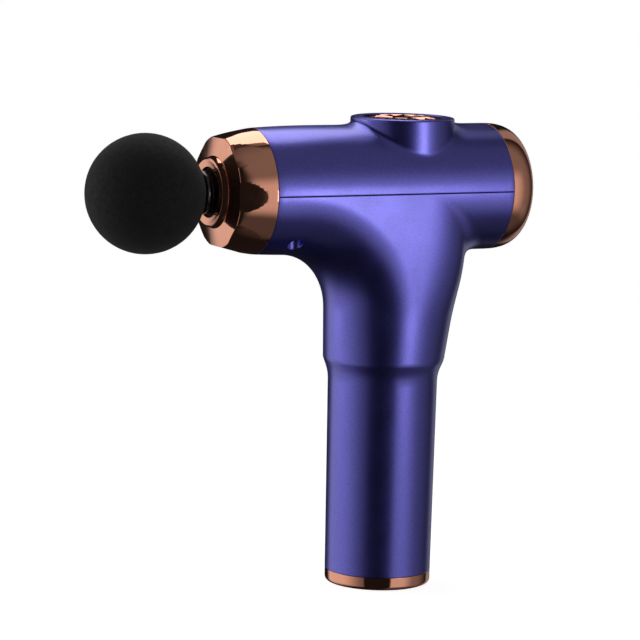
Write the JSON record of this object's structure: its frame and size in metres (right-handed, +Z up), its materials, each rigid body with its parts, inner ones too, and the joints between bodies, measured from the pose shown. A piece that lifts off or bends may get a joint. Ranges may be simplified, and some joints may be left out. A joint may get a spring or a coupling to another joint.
{
  "type": "massage gun",
  "caption": "Hand-held percussion massager: round handle, level barrel with a round boss, foam ball head driven by a crank.",
  "frame": {"origin": "middle of the handle's foot, on the surface the foot stands on", "axes": "+Z up along the handle; -X towards the ball, along the barrel; Y across, symmetric"},
  "size_m": [0.1979, 0.0544, 0.2014],
  "materials": {
    "purple_shell": "satin",
    "rose_gold": "polished",
    "soft_rubber": "matte",
    "gloss_black": "gloss",
    "matte_black": "matte",
    "ball_foam": "matte",
    "light_pipe": "gloss",
    "screw_steel": "satin",
    "socket_shell": "satin",
    "circuit_board": "satin",
    "red_lead": "satin",
    "white_lead": "satin",
    "blue_lead": "satin",
    "cell_wrap": "satin",
    "nickel": "satin",
    "cast_alloy": "satin",
    "bronze": "satin",
    "bearing_steel": "satin",
    "core_steel": "satin",
    "copper": "satin"
  },
  "bodies": {
    "housing": {"upper_housing": "purple_shell", "lower_housing": "purple_shell", "nose_ring": "rose_gold", "nose_collar": "rose_gold", "dust_seal": "soft_rubber", "rear_bezel": "rose_gold", "rear_panel": "gloss_black", "level_lights": "light_pipe", "outlet_rosette": "rose_gold", "outlet_screen": "matte_black", "base_ring": "rose_gold", "base_plate": "matte_black", "base_screws": "screw_steel", "charge_socket": "socket_shell", "charge_board": "circuit_board", "charge_leads": "red_lead", "lower_cell_holder": "matte_black", "upper_cell_holder": "matte_black", "cell_front": "cell_wrap", "cell_left": "cell_wrap", "cell_right": "cell_wrap", "cell_straps": "nickel", "battery_board": "circuit_board", "battery_leads": "red_lead", "control_board": "circuit_board", "board_parts": "matte_black", "panel_board": "circuit_board", "panel_screws": "screw_steel", "tact_switch": "matte_black", "panel_leads": "white_lead", "motor_leads": "blue_lead", "drive_frame": "cast_alloy", "front_damper": "soft_rubber", "rear_damper": "soft_rubber", "front_bush": "bronze", "rear_bush": "bronze", "motor_base": "cast_alloy", "motor_screws": "screw_steel", "motor_bearings": "bearing_steel", "motor_core": "core_steel", "motor_windings": "copper", "housing_screws": "screw_steel"},
    "rotor": {"motor_bell": "core_steel", "motor_magnets": "core_steel", "motor_shaft": "bearing_steel", "flywheel": "bearing_steel", "flywheel_screw": "screw_steel"},
    "piston": {"plunger": "cast_alloy", "wrist_pin": "bearing_steel"},
    "rod": {"connecting_rod": "cast_alloy", "crank_bearing": "bearing_steel", "crank_pin": "bearing_steel"},
    "seals": {"head_seals": "soft_rubber"},
    "head": {"head_stem": "gloss_black", "head_ball": "ball_foam"},
    "button": {"power_button": "matte_black"}
  },
  "joints": [
    {"name": "motor_spin", "type": "hinge", "parent": "housing", "child": "rotor", "pos_m": [0.0062, 0, 0.175], "axis": [0, 0, 1], "continuous": true},
    {"name": "piston_stroke", "type": "slide", "parent": "housing", "child": "piston", "axis": [-1, 0, 0], "range_m": [0, 0.01]},
    {"name": "rod_swing", "type": "hinge", "parent": "piston", "child": "rod", "pos_m": [-0.0208, 0, 0.1707], "axis": [0, 0, 1], "range_deg": [-9, 9]},
    {"name": "head_pull", "type": "slide", "parent": "piston", "child": "seals", "axis": [-1, 0, 0], "range_m": [0, 0.025]},
    {"name": "head_turn", "type": "hinge", "parent": "seals", "child": "head", "pos_m": [-0.09, 0, 0.1707], "axis": [1, 0, 0], "continuous": true},
    {"name": "power_press", "type": "slide", "parent": "housing", "child": "button", "axis": [-1, 0, 0], "range_m": [0, 0.0005], "stiffness_N_per_m": 2500}
  ]
}
